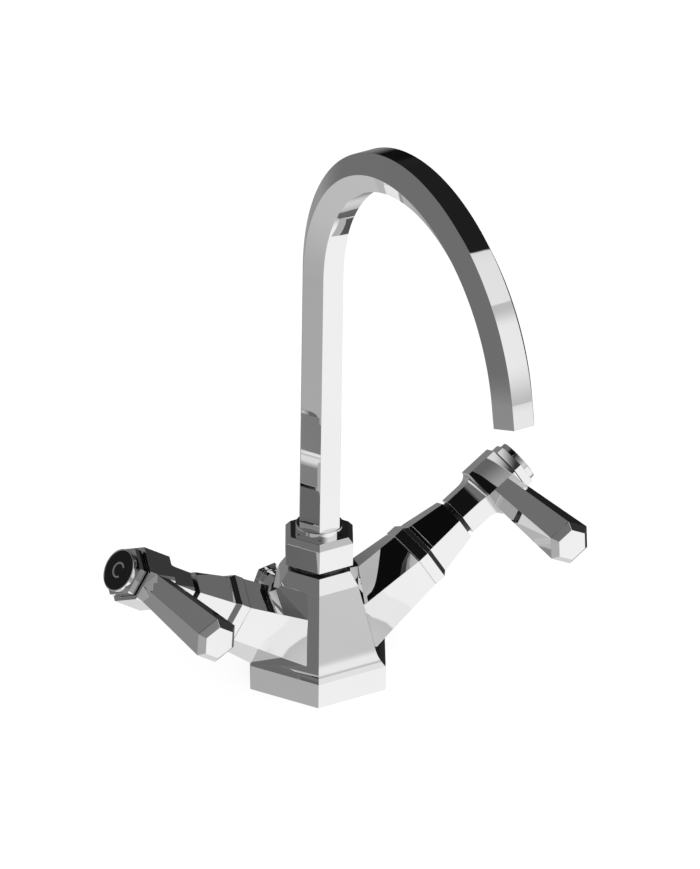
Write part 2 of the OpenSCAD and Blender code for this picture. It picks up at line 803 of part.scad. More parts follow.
index(true);  // cold_index
index(false);  // hot_index
letter(true);  // cold_letter
letter(false);  // hot_letter
pull_bush();
pull_seal();
pull_rod();
pull_knob();
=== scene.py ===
# Tall basin mixer in polished chrome plate, on a pale studio floor
import json
import math

import bmesh
import bpy
from mathutils import Matrix, Vector

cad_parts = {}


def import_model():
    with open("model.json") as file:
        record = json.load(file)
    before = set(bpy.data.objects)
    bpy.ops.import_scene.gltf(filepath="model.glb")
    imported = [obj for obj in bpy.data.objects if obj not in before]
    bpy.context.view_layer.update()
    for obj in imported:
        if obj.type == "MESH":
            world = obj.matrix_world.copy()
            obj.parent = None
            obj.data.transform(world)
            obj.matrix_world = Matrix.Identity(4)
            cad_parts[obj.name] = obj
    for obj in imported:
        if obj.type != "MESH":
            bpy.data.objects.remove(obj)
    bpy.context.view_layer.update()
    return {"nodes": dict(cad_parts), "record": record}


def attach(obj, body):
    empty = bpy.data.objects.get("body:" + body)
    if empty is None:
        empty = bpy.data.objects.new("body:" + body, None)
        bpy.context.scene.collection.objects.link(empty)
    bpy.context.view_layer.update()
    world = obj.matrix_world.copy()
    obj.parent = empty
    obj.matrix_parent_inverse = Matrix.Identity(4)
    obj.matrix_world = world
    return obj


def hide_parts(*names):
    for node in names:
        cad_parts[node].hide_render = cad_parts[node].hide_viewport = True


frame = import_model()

MM = 0.001
COS30 = math.cos(math.radians(30))
HEX = 6

# Places along the height, in millimetres, as in the part's source
BASE_FLATS, BASE_H = 52, 10.3
FLARE_FLATS, FLARE_Z, FLARE_POWER, FLARE_STEPS, FLARE_SPREAD = 43.5, 17.4, 2.79, 16, 1.4
SHOULDER_FLATS, SHOULDER_Z = 30.2, 42.2
CROWN_FLATS, CROWN_Z = 23.9, 47.6
NECK_R, NECK_Z, TAIL_BORE_R, TAIL_BORE_Z = 9.9, 55.6, 6.6, 31
COLLAR_Z, COLLAR_FLATS = 50.5, 25.9
BEVEL_Z, COLLAR_TOP_Z, COLLAR_TOP_FLATS = 60, 62.2, 22.3
CHAMBER_R, LIP_R, LIP_Z = 10.9, 9.5, 58.55
BAND_SET, BAND_BULGE, BAND_STEPS = 0.9, 0.6, 8

# Deck side of the body
INLET_X, INLET_Y, INLET_R, INLET_DEPTH = 9.2, 3, 4.5, 14
STUD_Y, STUD_R, STUD_DEPTH = 10.5, 3.4, 14
DECK_RING_R, DECK_RING_HALF, DECK_RING_DEPTH = 20, 1.2, 2.3
PASSAGE_Z, PASSAGE_R, PASSAGE_L = 36, 2.4, 24

# Spout, whose bend has a rising and a falling half
FOOT_R, FOOT_TOP_Z, FOOT_EDGE = 9.2, 65.2, 0.4
FLANGE_Z, FLANGE_T, FLANGE_R = 56.4, 2, 10.6
TAIL_R, TAIL_WATER_R, TAIL_BOTTOM_Z = 6.55, 4, 39.6
TAIL_RING_ZS, TAIL_GROOVE_HALF, TAIL_GROOVE_R = (45.6, 50.6), 1.1, 4.65
SPOUT_FLATS, SPOUT_BORE_R, SOCKET_Z = 15.4, 5.6, 59.2
BEND_Z, END_L = 174.8, 9.8
RISE_R, RISE_ANGLE, FALL_R, FALL_ANGLE = 68.3, 79.7, 71.5, 89.7
BEND_STEP = 1.5
AERATOR_R, AERATOR_L, AERATOR_SET, AERATOR_WALL, AERATOR_LEDGE = 5.58, 7.6, 0.6, 0.9, 1
# Length of the last flat before the outlet's lip, and how far the bore's bend draws in
LIP_RUN_IN, BORE_DRAW_IN = 2, 0.1

# Arms, measured along their own axis. The seam's eased edge shows as a thin dark line
ARM_RISE, ARM_Z = 32.7, 11.1
ROOT_S, ROOT_RIDGE, ROOT_SHOULDER, ROOT_CHEEK, ROOT_KEEL = 12, 17.1, (12.2, 14.1), (-5.2, 18.5), -17
SEAM_S, SEAM_R, SEAM_CHAMFER, ROOT_STEPS = 49.5, 14.1, 0.4, 12
BAND_S, BAND_R, GROOVE_SHARE, GROOVE_R = 53.8, 14.4, 0.54, 12.75
TAPER_S, TAPER_R, NOSE_S, NOSE_R = 57.3, 12.6, 72.0, 9.85
VALVE_BORE_R, VALVE_FLOOR_S, FEED_R, FEED_S = 8.3, 28, 4.2, 6.5
VALVE_NECK_BORE_R, VALVE_FLANGE_BORE_R, VALVE_CAVITY_S = 6.32, 10.42, 54.0

# Handles
GAP_RING_R, GAP_RING_T, GAP_RING_BORE_R = 7.1, 1.8, 4.1
GRIP_S, HANDLE_NECK_R, SWEEP_S, SWEEP_L = 73.9, 9, 82.0, 5.1
HUB_R, HUB_TOP_S, SPIGOT_BORE_R, SCREW_BORE_R, SPINDLE_BORE_R = 12, 100.4, 4.62, 2.02, 3.82
WEB_S, WEB_TOP_S = 82.9, 85.3
LEVER_S, LEVER_ROOT_R, LEVER_END_R = 93.45, 6.9, 9.3
LEVER_L, LEVER_BEVEL_L, LEVER_TIP_R = 55.4, 2.3, 6.6
CAP_S, CAP_R, CAP_RING_R, SPIGOT_R, SPIGOT_S = 100.9, 10.2, 8.2, 4.6, 96.2
BEZEL_S, BEZEL_R, BEZEL_T, BEZEL_FLOOR_T = 104.2, 8.4, 2.2, 1.3
INDEX_R, INDEX_T, INDEX_FLAT_SET = 7.8, 0.8, 1
LETTER_H, LETTER_T, LETTER_STROKE, LETTER_MOUTH, LETTER_WIDTH_SHARE = 6.4, 0.25, 0.75, 84, 0.7
LETTER_STEPS = 40

# Waste pull
PULL_Z, PULL_Y, PULL_FLATS, PULL_L, PULL_RIM, PULL_TWIST = 21.9, 37.4, 12.6, 4, 0.3, -8
STEM_R, STEM_GAP, STEM_FILLET, ROD_R, ROD_BORE_R = 4.1, 0.5, 0.7, 2.5, 2.52
BUSH_R, BUSH_BORE_R, BUSH_L, ROD_HOLE_R, ROD_L = 4.4, 2.55, 7, 2.8, 16.4
SEAL_SPACE, BUSH_RUN_OUT, ROD_END_GAP = 1.4, 3, 1
BACK_Y = (FLARE_FLATS + (SHOULDER_FLATS - FLARE_FLATS) * (PULL_Z - FLARE_Z) / (SHOULDER_Z - FLARE_Z)) / 2
ROD_START_Y = BACK_Y - ROD_L

# Radius that polishing leaves on an edge, smaller on turned and moulded rings
EDGE, FINE_EDGE = 0.2, 0.1
CORNER_STEPS, FLAT_STEPS = 4, 3
RING_POINTS = HEX * (CORNER_STEPS + 1 + FLAT_STEPS)
TURNED_POINTS = 2 * RING_POINTS
# Overrun of a cut, and the gap of pieces fixed together
OVER, FIX_GAP = 0.5, 0.02


def turns(first, last, steps):
    """Angles from one to another in that many steps, given in degrees."""
    return [math.radians(first + (last - first) * i / steps) for i in range(steps + 1)]


def vertex(flats):
    """Radius of the corners of a hexagon, from its width across flats."""
    return flats / 2 / COS30


def eased(before, corner, after, reach, steps):
    """Points on a small curve that replaces a corner."""
    before, corner, after = Vector(before), Vector(corner), Vector(after)
    start = corner + (before - corner).normalized() * reach
    end = corner + (after - corner).normalized() * reach
    shares = [i / steps for i in range(steps + 1)]
    return [start * (1 - t) ** 2 + corner * 2 * t * (1 - t) + end * t ** 2 for t in shares]


def rounded_ring(corners, edge=EDGE):
    """Closed ring through six corners, each rounded to the polished edge."""
    reach = edge * math.tan(math.radians(30))
    arcs = [
        eased(corners[k - 1], corners[k], corners[(k + 1) % HEX], reach, CORNER_STEPS)
        for k in range(HEX)
    ]
    ring = []
    for k, arc in enumerate(arcs):
        last, first = arc[-1], arcs[(k + 1) % HEX][0]
        ring += arc + [last.lerp(first, (j + 1) / (FLAT_STEPS + 1)) for j in range(FLAT_STEPS)]
    return ring


def hex_ring(r, s, edge=EDGE, twist=0):
    """Hexagonal ring with corner radius r at distance s, its first corner along +X."""
    angles = [math.radians(60 * k + twist) for k in range(HEX)]
    return rounded_ring([(r * math.cos(a), r * math.sin(a), s) for a in angles], edge)


def round_ring(r, s, count=RING_POINTS):
    """Round ring whose points face those of a hexagonal ring."""
    first = -CORNER_STEPS / 2 * math.tau / RING_POINTS
    angles = [first + i * math.tau / count for i in range(count)]
    return [Vector((r * math.cos(a), r * math.sin(a), s)) for a in angles]


def softened(profile, reach=EDGE * 0.7, steps=3):
    """A profile of (distance, radius) places with its inner corners eased."""
    points = [Vector(p) for p in profile]
    out = [points[0]]
    for before, here, after in zip(points, points[1:], points[2:]):
        short = min((before - here).length, (after - here).length) * 0.45
        out += eased(before, here, after, min(reach, short), steps)
    return out + [points[-1]]


def hex_rings(profile, **settings):
    return [hex_ring(r, s, **settings) for s, r in profile]


def round_rings(profile, count=RING_POINTS):
    return [round_ring(r, s, count) for s, r in profile]


def upright(p):
    return Vector(p)


def arm_place(side):
    """Carries a point of an arm (up, front, outwards) to the row frame."""
    rise = math.radians(ARM_RISE)

    def place(p):
        return Vector((
            side * (p[2] * math.cos(rise) - p[0] * math.sin(rise)),
            -p[1],
            ARM_Z + p[2] * math.sin(rise) + p[0] * math.cos(rise),
        ))

    return place


def lever_place(side):
    """Carries a point of a lever (along the arm, across, to the front) to the row frame."""
    arm = arm_place(side)
    return lambda p: arm((-p[1], p[2], LEVER_S - p[0]))


def pull_place(p):
    return Vector((p[0], p[2], PULL_Z - p[1]))


RISE, FALL = math.radians(RISE_ANGLE), math.radians(FALL_ANGLE)
RISE_CENTRE = Vector((0, -RISE_R, BEND_Z))
FALL_CENTRE = RISE_CENTRE + Vector((0, math.cos(RISE), math.sin(RISE))) * (RISE_R - FALL_R)


def bend_place(centre, radius, angle):
    """Carries a point of the spout's section to its place on the bend, +Z running with the water."""
    out = Vector((0, math.cos(angle), math.sin(angle)))
    along = Vector((0, -math.sin(angle), math.cos(angle)))
    return lambda p: Vector((p[0], 0, 0)) + centre + out * (radius + p[1]) + along * p[2]


outlet_place = bend_place(FALL_CENTRE, FALL_R, RISE + FALL)


def solid(name, points, faces, sharp=35):
    """Mesh in metres from points in millimetres, smooth but for its sharp edges."""
    mesh = bpy.data.meshes.new(name)
    mesh.from_pydata([Vector(p) * MM for p in points], [], faces)
    tidy = bmesh.new()
    tidy.from_mesh(mesh)
    bmesh.ops.recalc_face_normals(tidy, faces=tidy.faces)
    tidy.to_mesh(mesh)
    tidy.free()
    piece = bpy.data.objects.new(name, mesh)
    bpy.context.scene.collection.objects.link(piece)
    smooth(piece, sharp)
    return piece


def smooth(piece, sharp=35):
    piece.data.polygons.foreach_set("use_smooth", [True] * len(piece.data.polygons))
    piece.data.set_sharp_from_angle(angle=math.radians(sharp))


def loft(name, rings, place=upright, hollow=False):
    """Piece through a row of rings. A hollow one closes its last ring onto its first."""
    count = len(rings[0])
    points = [place(p) for ring in rings for p in ring]
    last = len(rings) if hollow else len(rings) - 1
    faces = []
    for i in range(last):
        here, there = i * count, (i + 1) % len(rings) * count
        faces += [
            (here + k, here + (k + 1) % count, there + (k + 1) % count, there + k)
            for k in range(count)
        ]
    if not hollow:
        faces += [tuple(range(count)), tuple(range(last * count, (last + 1) * count))]
    return solid(name, points, faces)


def turned(name, profile, place=upright, hollow=True):
    """Round piece from a profile of (distance, radius) places."""
    return loft(name, round_rings(profile, TURNED_POINTS), place, hollow)


def combine(piece, others, operation):
    """Joins the others to the piece or cuts them out of it, and removes them."""
    for other in others:
        step = piece.modifiers.new(operation.lower(), "BOOLEAN")
        step.operation = operation
        step.solver = "EXACT"
        step.object = other
    seen = bpy.context.evaluated_depsgraph_get()
    piece.data = bpy.data.meshes.new_from_object(piece.evaluated_get(seen))
    piece.modifiers.clear()
    for other in others:
        bpy.data.objects.remove(other)
    smooth(piece)


def dress(piece, body, slot, material, *nodes):
    """The piece moves with that body, takes that finish, and stands for those CAD nodes."""
    piece.data.materials.clear()
    piece.data.materials.append(material)
    flats = piece.modifiers.new("flats", "WEIGHTED_NORMAL")
    flats.weight = 100
    flats.keep_sharp = True
    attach(piece, body)
    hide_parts(*nodes)


def linear(code):
    """Linear colour from an sRGB hex code."""
    levels = [int(code[i:i + 2], 16) / 255 for i in (1, 3, 5)]
    return tuple(v / 12.92 if v <= 0.04045 else ((v + 0.055) / 1.055) ** 2.4 for v in levels)


def rgba(code):
    return (*linear(code), 1.0)


def per(size):
    """Scale of a noise whose patches measure that many millimetres."""
    return 1 / (size * MM)


def lines_per(pitch):
    """Scale of a wave texture whose lines lie that many millimetres apart."""
    return math.tau / 20 / (pitch * MM)


def node(tree, kind, sockets=(), **settings):
    """Adds a node, sets its properties, and sets or links its input sockets."""
    made = tree.nodes.new(kind)
    for key, value in settings.items():
        setattr(made, key, value)
    for key, value in dict(sockets).items():
        if isinstance(value, bpy.types.NodeSocket):
            tree.links.new(value, made.inputs[key])
        else:
            made.inputs[key].default_value = value
    return made


def new_finish(name):
    material = bpy.data.materials.new(name)
    material.use_nodes = True
    material.node_tree.nodes.clear()
    return material, material.node_tree


def polished_chrome(name):
    """Chrome plate polished on the wheel: a mirror with a faint haze and the slightest swell."""
    material, tree = new_finish(name)
    place = node(tree, "ShaderNodeTexCoord").outputs["Object"]
    haze = node(tree, "ShaderNodeTexNoise", {"Vector": place, "Scale": per(18), "Detail": 3.0})
    tint = node(tree, "ShaderNodeMix", {
        "Factor": haze.outputs["Fac"], 6: rgba("#F1F1F1"), 7: rgba("#ECECEC")}, data_type="RGBA")
    rough = node(tree, "ShaderNodeMapRange", {
        "Value": haze.outputs["Fac"], "From Min": 0.3, "From Max": 0.7,
        "To Min": 0.004, "To Max": 0.012})
    swell = node(tree, "ShaderNodeTexNoise", {"Vector": place, "Scale": per(9), "Detail": 1.0})
    relief = node(tree, "ShaderNodeBump", {"Height": swell.outputs["Fac"], "Distance": 0.002 * MM})
    shader = node(tree, "ShaderNodeBsdfPrincipled", {
        "Base Color": tint.outputs[2], "Roughness": rough.outputs["Result"],
        "Normal": relief.outputs["Normal"], "Metallic": 1.0})
    node(tree, "ShaderNodeOutputMaterial", {"Surface": shader.outputs["BSDF"]})
    return material


def turned_chrome(name, axis):
    """Chrome plate over turned brass: the tool's lines run round the piece, drawn at 0.5 mm,
    several times as far apart as real ones, so that they show."""
    material, tree = new_finish(name)
    place = node(tree, "ShaderNodeTexCoord").outputs["Object"]
    lines = node(tree, "ShaderNodeTexWave", {
        "Vector": place, "Scale": lines_per(0.5), "Distortion": 0.3, "Detail": 1.0},
        bands_direction=axis)
    rough = node(tree, "ShaderNodeMapRange", {
        "Value": lines.outputs["Fac"], "To Min": 0.03, "To Max": 0.07})
    tint = node(tree, "ShaderNodeMix", {
        "Factor": lines.outputs["Fac"], 6: rgba("#EFEFEF"), 7: rgba("#E9E9E9")}, data_type="RGBA")
    relief = node(tree, "ShaderNodeBump", {"Height": lines.outputs["Fac"], "Distance": 0.0006 * MM})
    shader = node(tree, "ShaderNodeBsdfPrincipled", {
        "Base Color": tint.outputs[2], "Roughness": rough.outputs["Result"],
        "Normal": relief.outputs["Normal"], "Metallic": 1.0})
    node(tree, "ShaderNodeOutputMaterial", {"Surface": shader.outputs["BSDF"]})
    return material


def moulded(name, light, dark, roughness, grain, depth):
    """Moulded or sintered piece: clouded between two shades, with a fine grain of that size."""
    material, tree = new_finish(name)
    place = node(tree, "ShaderNodeTexCoord").outputs["Object"]
    cloud = node(tree, "ShaderNodeTexNoise", {"Vector": place, "Scale": per(6), "Detail": 4.0})
    tint = node(tree, "ShaderNodeMix", {
        "Factor": cloud.outputs["Fac"], 6: rgba(dark), 7: rgba(light)}, data_type="RGBA")
    fine = node(tree, "ShaderNodeTexNoise", {"Vector": place, "Scale": per(grain), "Detail": 2.0})
    rough = node(tree, "ShaderNodeMapRange", {
        "Value": fine.outputs["Fac"], "To Min": roughness * 0.8, "To Max": roughness * 1.2})
    relief = node(tree, "ShaderNodeBump", {"Height": fine.outputs["Fac"], "Distance": depth * MM})
    shader = node(tree, "ShaderNodeBsdfPrincipled", {
        "Base Color": tint.outputs[2], "Roughness": rough.outputs["Result"],
        "Normal": relief.outputs["Normal"]})
    node(tree, "ShaderNodeOutputMaterial", {"Surface": shader.outputs["BSDF"]})
    return material


def machined(name, light, dark, roughness, pitch):
    """Bare metal off the lathe: tool marks that far apart, and a slightly uneven colour."""
    material, tree = new_finish(name)
    place = node(tree, "ShaderNodeTexCoord").outputs["Object"]
    stain = node(tree, "ShaderNodeTexNoise", {"Vector": place, "Scale": per(5), "Detail": 4.0})
    tint = node(tree, "ShaderNodeMix", {
        "Factor": stain.outputs["Fac"], 6: rgba(dark), 7: rgba(light)}, data_type="RGBA")
    marks = node(tree, "ShaderNodeTexWave", {
        "Vector": place, "Scale": lines_per(pitch), "Distortion": 1.5, "Detail": 2.0})
    rough = node(tree, "ShaderNodeMapRange", {
        "Value": marks.outputs["Fac"], "To Min": roughness * 0.7, "To Max": roughness * 1.3})
    relief = node(tree, "ShaderNodeBump", {"Height": marks.outputs["Fac"], "Distance": 0.004 * MM})
    shader = node(tree, "ShaderNodeBsdfPrincipled", {
        "Base Color": tint.outputs[2], "Roughness": rough.outputs["Result"],
        "Normal": relief.outputs["Normal"], "Metallic": 1.0})
    node(tree, "ShaderNodeOutputMaterial", {"Surface": shader.outputs["BSDF"]})
    return material


# Mirror-bright plating, told only by what it reflects
CHROME = polished_chrome("polished_chrome_plate")
# The same plating over turned brass, with lines across the upright foot of the spout
TURNED_FOOT = turned_chrome("chromed_turned_foot", "Z")
# And with lines across the rod of the waste pull and the sleeve in the outlet
TURNED_ROD = turned_chrome("chromed_turned_rod", "Y")
# Nitrile rubber from the mould: deep black with a soft, broad shine
RUBBER = moulded("moulded_nitrile_rubber", "#1B1B1B", "#111111", 0.5, 0.4, 0.01)
# Glass-filled nylon from a polished mould: black, glossy enough for a thin bright line
NYLON = moulded("moulded_black_nylon", "#101011", "#0A0A0B", 0.16, 0.5, 0.0006)
# Acetal: milky white with a waxy shine
ACETAL = moulded("moulded_white_acetal", "#E6E6E2", "#DCDCD8", 0.35, 0.6, 0.004)
# Lapped alumina: dense and white, with a flat satin shine
ALUMINA = moulded("lapped_alumina", "#EBE9E4", "#E2E0DA", 0.25, 0.3, 0.002)
# Stoved enamel in the cap: jet black and glassy, with a faint orange peel 2 mm across
BLACK_ENAMEL = moulded("stoved_black_enamel", "#060607", "#030304", 0.06, 2, 0.0005)
# Silver enamel on the raised letter: pale, with the fine sparkle of its flakes
SILVER_ENAMEL = moulded("silver_letter_enamel", "#8C8D8F", "#77787A", 0.35, 0.3, 0.004)
# Brass bar straight off the lathe, in warm yellow with fine tool marks
BRASS = machined("turned_brass", "#DDBB74", "#C4A05A", 0.25, 0.4)
# Stainless steel screw, tumbled to a grey satin
STEEL = machined("tumbled_stainless_steel", "#C2C3C6", "#A9AAAE", 0.3, 0.5)

FINISHES = {
    "chrome_plate": CHROME, "chromed_brass_turning": TURNED_FOOT, "black_rubber": RUBBER,
    "black_nylon": NYLON, "white_acetal": ACETAL, "bare_brass": BRASS, "alumina_ceramic": ALUMINA,
    "stainless_steel": STEEL, "black_enamel": BLACK_ENAMEL, "silver_enamel": SILVER_ENAMEL,
}
for entry in frame["record"]["subparts"]:
    cad = frame["nodes"][entry["node"]]
    cad.data.materials.clear()
    cad.data.materials.append(FINISHES[entry["material_slot"]])


def body_outline():
    """Plinth, hollow flare, taper and crown, from the deck up."""
    top, drop, wide = FLARE_Z - BASE_H, BASE_FLATS - FLARE_FLATS, vertex(BASE_FLATS)
    # The flare runs smoothly into the taper above it, so it ends with the slope of the taper
    lean = (FLARE_FLATS - SHOULDER_FLATS) / (SHOULDER_Z - FLARE_Z) * top / drop
    flare = []
    for i in range(1, FLARE_STEPS + 1):
        h = (i / FLARE_STEPS) ** FLARE_SPREAD
        share = lean * h + (1 - lean) * (1 - (1 - h) ** FLARE_POWER)
        flare.append((BASE_H + top * h, vertex(BASE_FLATS - drop * share)))
    return (
        softened([(0, wide - EDGE), (0, wide), (BASE_H, wide), flare[0]], FINE_EDGE) + flare[1:-1]
        + softened([flare[-1], (SHOULDER_Z, vertex(SHOULDER_FLATS)), (CROWN_Z, vertex(CROWN_FLATS)),
                    (CROWN_Z, vertex(CROWN_FLATS) - EDGE)])
    )


def root_ring(s):
    """Section of an arm's root, which grows from the seam towards the body."""
    m = (SEAM_S - s) / (SEAM_S - ROOT_S)
    flat, half = SEAM_R * COS30, SEAM_R / 2

    def between(seam, body):
        return seam + (body - seam) * m

    up = between(half, ROOT_SHOULDER[0]), between(flat, ROOT_SHOULDER[1])
    low = between(-half, ROOT_CHEEK[0]), between(flat, ROOT_CHEEK[1])
    ridge, keel = between(SEAM_R, ROOT_RIDGE), between(-SEAM_R, ROOT_KEEL)
    corners = [(ridge, 0), up, low, (keel, 0), (low[0], -low[1]), (up[0], -up[1])]
    return rounded_ring([(*corner, s) for corner in corners])


def mixer_body():
    body = loft("mixer_casting", hex_rings(body_outline()))
    neck = loft("neck", round_rings([(CROWN_Z - OVER, NECK_R), (NECK_Z, NECK_R)]))
    length = SEAM_S - SEAM_CHAMFER - ROOT_S
    rings = [root_ring(ROOT_S + length * i / ROOT_STEPS) for i in range(ROOT_STEPS + 1)]
    rings.append(hex_ring(SEAM_R - SEAM_CHAMFER, SEAM_S))
    roots = [loft("root", rings, arm_place(side)) for side in (-1, 1)]
    combine(body, [neck, *roots], "UNION")
    holes = [
        loft("bore", round_rings([(TAIL_BORE_Z, TAIL_BORE_R), (NECK_Z + OVER, TAIL_BORE_R)])),
        loft("stud", round_rings([(-OVER, STUD_R), (STUD_DEPTH, STUD_R)]),
             lambda p: Vector((p[0], p[1] - STUD_Y, p[2]))),
        turned("groove", [
            (-OVER, DECK_RING_R - DECK_RING_HALF), (-OVER, DECK_RING_R + DECK_RING_HALF),
            (DECK_RING_DEPTH, DECK_RING_R + DECK_RING_HALF),
            (DECK_RING_DEPTH, DECK_RING_R - DECK_RING_HALF)]),
        loft("bush_hole", round_rings([
            (BACK_Y - BUSH_L - SEAL_SPACE, BUSH_R), (BACK_Y + BUSH_RUN_OUT, BUSH_R)]), pull_place),
        loft("rod_hole", round_rings([
            (ROD_START_Y - ROD_END_GAP, ROD_HOLE_R), (BACK_Y - ROD_END_GAP, ROD_HOLE_R)]), pull_place),
    ]
    for side in (-1, 1):
        holes += [
            loft("inlet", round_rings([(-OVER, INLET_R), (INLET_DEPTH, INLET_R)]),
                 lambda p, x=side * INLET_X: Vector((p[0] + x, p[1] + INLET_Y, p[2]))),
            loft("valve_bore", round_rings([
                (FEED_S, FEED_R), (VALVE_FLOOR_S, FEED_R), (VALVE_FLOOR_S, VALVE_BORE_R),
                (SEAM_S + OVER, VALVE_BORE_R)]), arm_place(side)),
            loft("passage", round_rings([(0, PASSAGE_R), (PASSAGE_L, PASSAGE_R)]),
                 lambda p, way=side: Vector((p[2] * way, p[1], PASSAGE_Z + p[0]))),
        ]
    combine(body, holes, "DIFFERENCE")
    dress(body, "mixer", "chrome_plate", CHROME, "mixer_body")


def collar():
    outer = softened([
        (COLLAR_Z, vertex(COLLAR_FLATS) - EDGE), (COLLAR_Z, vertex(COLLAR_FLATS)),
        (BEVEL_Z, vertex(COLLAR_FLATS)), (COLLAR_TOP_Z, vertex(COLLAR_TOP_FLATS)),
        (COLLAR_TOP_Z, LIP_R + EDGE)])
    inner = [
        (COLLAR_TOP_Z - EDGE, LIP_R), (LIP_Z, LIP_R), (LIP_Z, CHAMBER_R),
        (NECK_Z, CHAMBER_R), (NECK_Z, NECK_R + FIX_GAP), (COLLAR_Z, NECK_R + FIX_GAP)]
    piece = loft("collar_nut", hex_rings(outer) + round_rings(inner), hollow=True)
    dress(piece, "mixer", "chrome_plate", CHROME, "collar")

    # Black band with a full face, so that a thin bright line runs round its middle
    shares = [i / BAND_STEPS for i in range(BAND_STEPS + 1)]
    bulge = [(CROWN_Z + (COLLAR_Z - CROWN_Z) * t,
              CROWN_FLATS / 2 - BAND_SET + BAND_BULGE * math.sin(math.pi * t)) for t in shares]
    bore_r = NECK_R + FIX_GAP
    band = turned("neck_band", [(CROWN_Z, bore_r), *bulge, (COLLAR_Z, bore_r)])
    dress(band, "mixer", "black_nylon", NYLON, "neck_ring")


def spout():
    r = vertex(SPOUT_FLATS)
    path = []
    for centre, radius, start, angle in (
            (RISE_CENTRE, RISE_R, 0, RISE), (FALL_CENTRE, FALL_R, RISE, FALL)):
        steps = round(math.degrees(angle) / BEND_STEP)
        path += [bend_place(centre, radius, start + angle * i / steps) for i in range(steps + 1)]
    path.pop(round(RISE_ANGLE / BEND_STEP))

    outer = [[Vector(p) for p in hex_ring(r, SOCKET_Z)]]
    outer += [[place(p) for p in hex_ring(r, 0)] for place in path]
    lip = softened([(END_L - LIP_RUN_IN, r), (END_L, r), (END_L, r - EDGE)])
    outer += [[outlet_place(p) for p in ring] for ring in hex_rings(lip[1:])]
    b = SPOUT_BORE_R
    mouth = [(END_L, b + FINE_EDGE), (END_L - FINE_EDGE, b), (BORE_DRAW_IN, b)]
    inner = [[outlet_place(p) for p in ring] for ring in round_rings(mouth)]
    inner += [[place(p) for p in round_ring(b - BORE_DRAW_IN, 0)] for place in reversed(path)]
    inner += round_rings([(BEND_Z - BORE_DRAW_IN, b), (SOCKET_Z, b)])
    dress(loft("swan_neck", outer + inner, hollow=True), "spout", "chrome_plate", CHROME, "spout_tube")

    shoulder = [(FOOT_TOP_Z - FOOT_EDGE * (1 - math.sin(a)), FOOT_R - FOOT_EDGE * (1 - math.cos(a)))
                for a in turns(0, 90, 6)]
    grooves = [(z + dz, r) for z in TAIL_RING_ZS for dz, r in (
        (-TAIL_GROOVE_HALF, TAIL_R), (-TAIL_GROOVE_HALF, TAIL_GROOVE_R),
        (TAIL_GROOVE_HALF, TAIL_GROOVE_R), (TAIL_GROOVE_HALF, TAIL_R))]
    socket_r = SPOUT_FLATS / 2 - EDGE
    foot = turned("spout_foot", [
        (TAIL_BOTTOM_Z, TAIL_WATER_R), (TAIL_BOTTOM_Z, TAIL_R), *grooves, (FLANGE_Z, TAIL_R),
        (FLANGE_Z, FLANGE_R), (FLANGE_Z + FLANGE_T, FLANGE_R), (FLANGE_Z + FLANGE_T, FOOT_R),
        *shoulder, (FOOT_TOP_Z, socket_r), (SOCKET_Z, socket_r), (SOCKET_Z, TAIL_WATER_R)])
    dress(foot, "spout", "chromed_brass_turning", TURNED_FOOT, "spout_tail")

    front, back = END_L - AERATOR_SET, END_L - AERATOR_SET - AERATOR_L
    ledge, bore_r, mouth_r = front - AERATOR_LEDGE, AERATOR_R - AERATOR_WALL, AERATOR_R - 2 * AERATOR_WALL
    sleeve = turned("aerator_sleeve", softened([
        (back, bore_r), (back, AERATOR_R), (front, AERATOR_R), (front, mouth_r), (ledge, mouth_r),
        (ledge, bore_r)], FINE_EDGE), outlet_place)
    dress(sleeve, "spout", "chromed_brass_turning", TURNED_ROD, "aerator_housing")


def arm_cover(side, label):
    groove_s = BAND_S + (TAPER_S - BAND_S) * GROOVE_SHARE
    outer = softened([
        (SEAM_S, BAND_R - EDGE), (SEAM_S, BAND_R), (BAND_S, BAND_R), (groove_s, GROOVE_R),
        (TAPER_S, TAPER_R), (NOSE_S, NOSE_R), (NOSE_S, NOSE_R - EDGE)])
    inner = [
        (NOSE_S, VALVE_NECK_BORE_R), (VALVE_CAVITY_S, VALVE_NECK_BORE_R),
        (VALVE_CAVITY_S, VALVE_FLANGE_BORE_R), (SEAM_S, VALVE_FLANGE_BORE_R)]
    piece = loft(f"{label}_arm_cover", hex_rings(outer) + round_rings(inner), arm_place(side), True)
    dress(piece, "mixer", "chrome_plate", CHROME, f"{label}_shroud")
    gap = turned(f"{label}_gap_band", softened([
        (NOSE_S, GAP_RING_BORE_R), (NOSE_S, GAP_RING_R), (NOSE_S + GAP_RING_T, GAP_RING_R),
        (NOSE_S + GAP_RING_T, GAP_RING_BORE_R)], FINE_EDGE), arm_place(side))
    dress(gap, "mixer", "black_nylon", NYLON, f"{label}_gap_ring")


def hub(side, label):
    sweep = [
        (SWEEP_S + SWEEP_L * math.sin(a), HANDLE_NECK_R + (HUB_R - HANDLE_NECK_R) * (1 - math.cos(a)))
        for a in turns(9, 90, 9)]
    outer = softened([(GRIP_S, HANDLE_NECK_R - EDGE), (GRIP_S, HANDLE_NECK_R), (SWEEP_S, HANDLE_NECK_R)])
    outer += sweep[:-1]
    outer += softened([sweep[-1], (HUB_TOP_S, HUB_R), (HUB_TOP_S, HUB_R - EDGE)])
    inner = [
        (HUB_TOP_S, SPIGOT_BORE_R), (WEB_TOP_S, SPIGOT_BORE_R), (WEB_TOP_S, SCREW_BORE_R),
        (WEB_S, SCREW_BORE_R), (WEB_S, SPINDLE_BORE_R), (GRIP_S, SPINDLE_BORE_R)]
    piece = loft(f"{label}_handle_hub", hex_rings(outer) + round_rings(inner), arm_place(side), True)
    dress(piece, f"{label}_handle", "chrome_plate", CHROME, f"{label}_hub")


